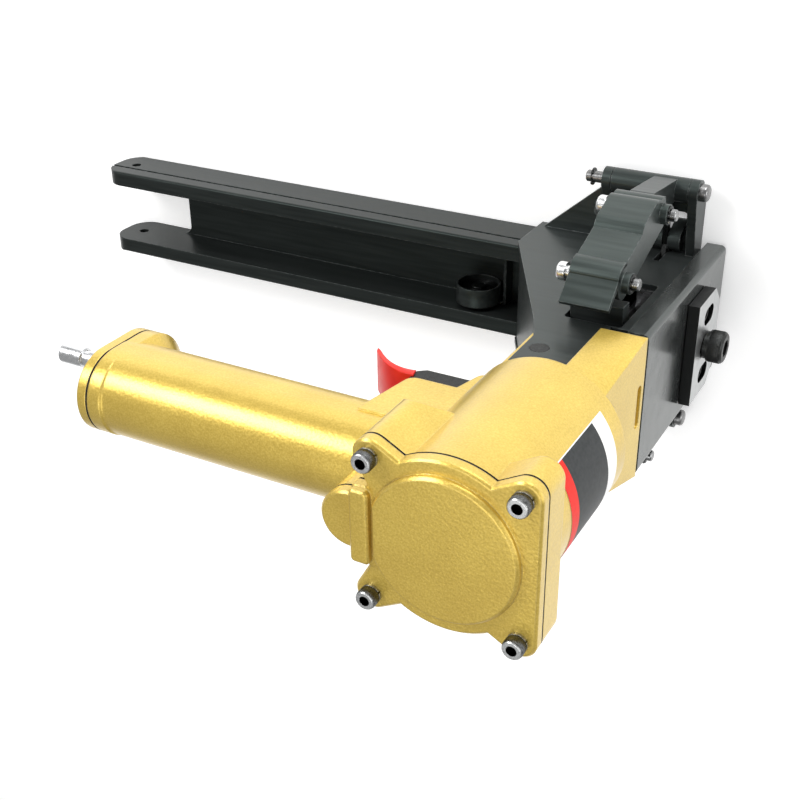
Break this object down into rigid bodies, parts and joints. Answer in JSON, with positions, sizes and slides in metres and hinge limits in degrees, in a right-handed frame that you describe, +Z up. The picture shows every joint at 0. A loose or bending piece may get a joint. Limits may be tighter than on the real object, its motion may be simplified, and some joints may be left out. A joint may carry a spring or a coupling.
{
  "type": "pneumatic carton stapler",
  "caption": "Hand-held pneumatic carton stapler with a long open magazine, a toggle linkage that drives clinching claws, a sprung trigger and a capped air cylinder.",
  "frame": {"origin": "on the base plane under the cylinder axis, where the driven staple leaves the nose", "axes": "+X to the front of the tool, +Y to its left, +Z up along the cylinder towards the cap"},
  "size_m": [0.4103, 0.1516, 0.272],
  "materials": {
    "gold_paint": "hammered metallic",
    "black_paint": "satin",
    "black_channel": "satin black paint",
    "gloss_black": "gloss",
    "dark_steel": "black oxide",
    "bright_steel": "zinc plated",
    "ground_steel": "ground",
    "piston_alloy": "turned",
    "valve_brass": "turned",
    "black_rubber": "matte",
    "red_plastic": "gloss"
  },
  "bodies": {
    "frame": {"main_housing": "gold_paint", "cylinder_cap": "gold_paint", "cap_gasket": "black_rubber", "cap_screws": "bright_steel", "cap_lock_washers": "bright_steel", "handle_end_cap": "gold_paint", "end_cap_gasket": "black_rubber", "end_cap_screws": "bright_steel", "air_plug": "bright_steel", "trigger_pin": "ground_steel", "trigger_valve_body": "valve_brass", "trigger_valve_spring": "ground_steel", "cylinder_liner": "ground_steel", "bumper": "black_rubber", "claw_pins": "ground_steel", "wing_pins": "bright_steel", "frame_screws": "dark_steel", "back_plate": "black_paint", "nose_guide": "ground_steel", "front_plate": "gloss_black", "depth_plate_screws": "dark_steel", "magazine_channel": "black_channel", "side_frame_left": "black_paint", "side_frame_right": "black_paint"},
    "driver": {"piston": "piston_alloy", "piston_ring": "black_rubber", "piston_rod": "ground_steel", "piston_nut": "ground_steel", "crosshead": "black_paint", "crosshead_pins": "bright_steel", "driver_blade": "ground_steel"},
    "link_left": {"clinch_link_left": "black_paint", "knee_pin_left": "bright_steel"},
    "link_right": {"clinch_link_right": "black_paint", "knee_pin_right": "bright_steel"},
    "lever_left": {"clinch_lever_left": "black_paint"},
    "lever_right": {"clinch_lever_right": "black_paint"},
    "claw_left": {"claw_left": "ground_steel"},
    "claw_right": {"claw_right": "ground_steel"},
    "trigger": {"trigger_lever": "dark_steel", "trigger_grip": "red_plastic", "trigger_rivet": "dark_steel"},
    "valve_stem": {"trigger_valve_stem": "ground_steel"},
    "pusher": {"pusher": "black_channel", "pusher_axle": "ground_steel", "pusher_spring_roll": "ground_steel"},
    "depth_plate": {"depth_plate": "dark_steel"},
    "clamp_screw": {"clamp_screw": "dark_steel"}
  },
  "joints": [
    {"name": "driver_slide", "type": "slide", "parent": "frame", "child": "driver", "axis": [0, 0, -1], "range_m": [0, 0.032]},
    {"name": "link_left_turn", "type": "hinge", "parent": "driver", "child": "link_left", "pos_m": [0, 0.05, 0.105], "axis": [1, 0, 0], "range_deg": [0, 38.55]},
    {"name": "lever_left_turn", "type": "hinge", "parent": "frame", "child": "lever_left", "pos_m": [0, 0.065, 0.0125], "axis": [1, 0, 0], "range_deg": [-39.06, 0]},
    {"name": "claw_left_turn", "type": "hinge", "parent": "frame", "child": "claw_left", "pos_m": [0, 0.0365, 0.008], "axis": [1, 0, 0], "range_deg": [0, 36.13]},
    {"name": "link_right_turn", "type": "hinge", "parent": "driver", "child": "link_right", "pos_m": [0, -0.05, 0.105], "axis": [1, 0, 0], "range_deg": [-38.55, 0]},
    {"name": "lever_right_turn", "type": "hinge", "parent": "frame", "child": "lever_right", "pos_m": [0, -0.065, 0.0125], "axis": [1, 0, 0], "range_deg": [0, 39.06]},
    {"name": "claw_right_turn", "type": "hinge", "parent": "frame", "child": "claw_right", "pos_m": [0, -0.0365, 0.008], "axis": [1, 0, 0], "range_deg": [-36.13, 0]},
    {"name": "trigger_pull", "type": "hinge", "parent": "frame", "child": "trigger", "pos_m": [-0.032, 0, 0.161], "axis": [0, 1, 0], "range_deg": [0, 10], "stiffness_Nm_per_rad": 0.6, "springref_deg": -11.46},
    {"name": "valve_stem_slide", "type": "slide", "parent": "frame", "child": "valve_stem", "axis": [0, 0, 1], "range_m": [0, 0.0036], "deforming": ["trigger_valve_spring"]},
    {"name": "pusher_slide", "type": "slide", "parent": "frame", "child": "pusher", "axis": [1, 0, 0], "range_m": [-0.195, 0.085]},
    {"name": "depth_slide", "type": "slide", "parent": "frame", "child": "depth_plate", "axis": [0, 0, 1], "range_m": [-0.003, 0.003]},
    {"name": "clamp_turn", "type": "hinge", "parent": "frame", "child": "clamp_screw", "pos_m": [0.04, 0, 0.0485], "axis": [1, 0, 0], "continuous": true}
  ],
  "couplings": [
    {"joint": "link_left_turn", "follows": "driver_slide", "rad_per_m": 20.94},
    {"joint": "lever_left_turn", "follows": "driver_slide", "rad_per_m": -21.22},
    {"joint": "claw_left_turn", "follows": "driver_slide", "rad_per_m": 19.63},
    {"joint": "link_right_turn", "follows": "driver_slide", "rad_per_m": -20.94},
    {"joint": "lever_right_turn", "follows": "driver_slide", "rad_per_m": 21.22},
    {"joint": "claw_right_turn", "follows": "driver_slide", "rad_per_m": -19.63},
    {"joint": "valve_stem_slide", "follows": "trigger_pull", "m_per_rad": 0.0195}
  ]
}
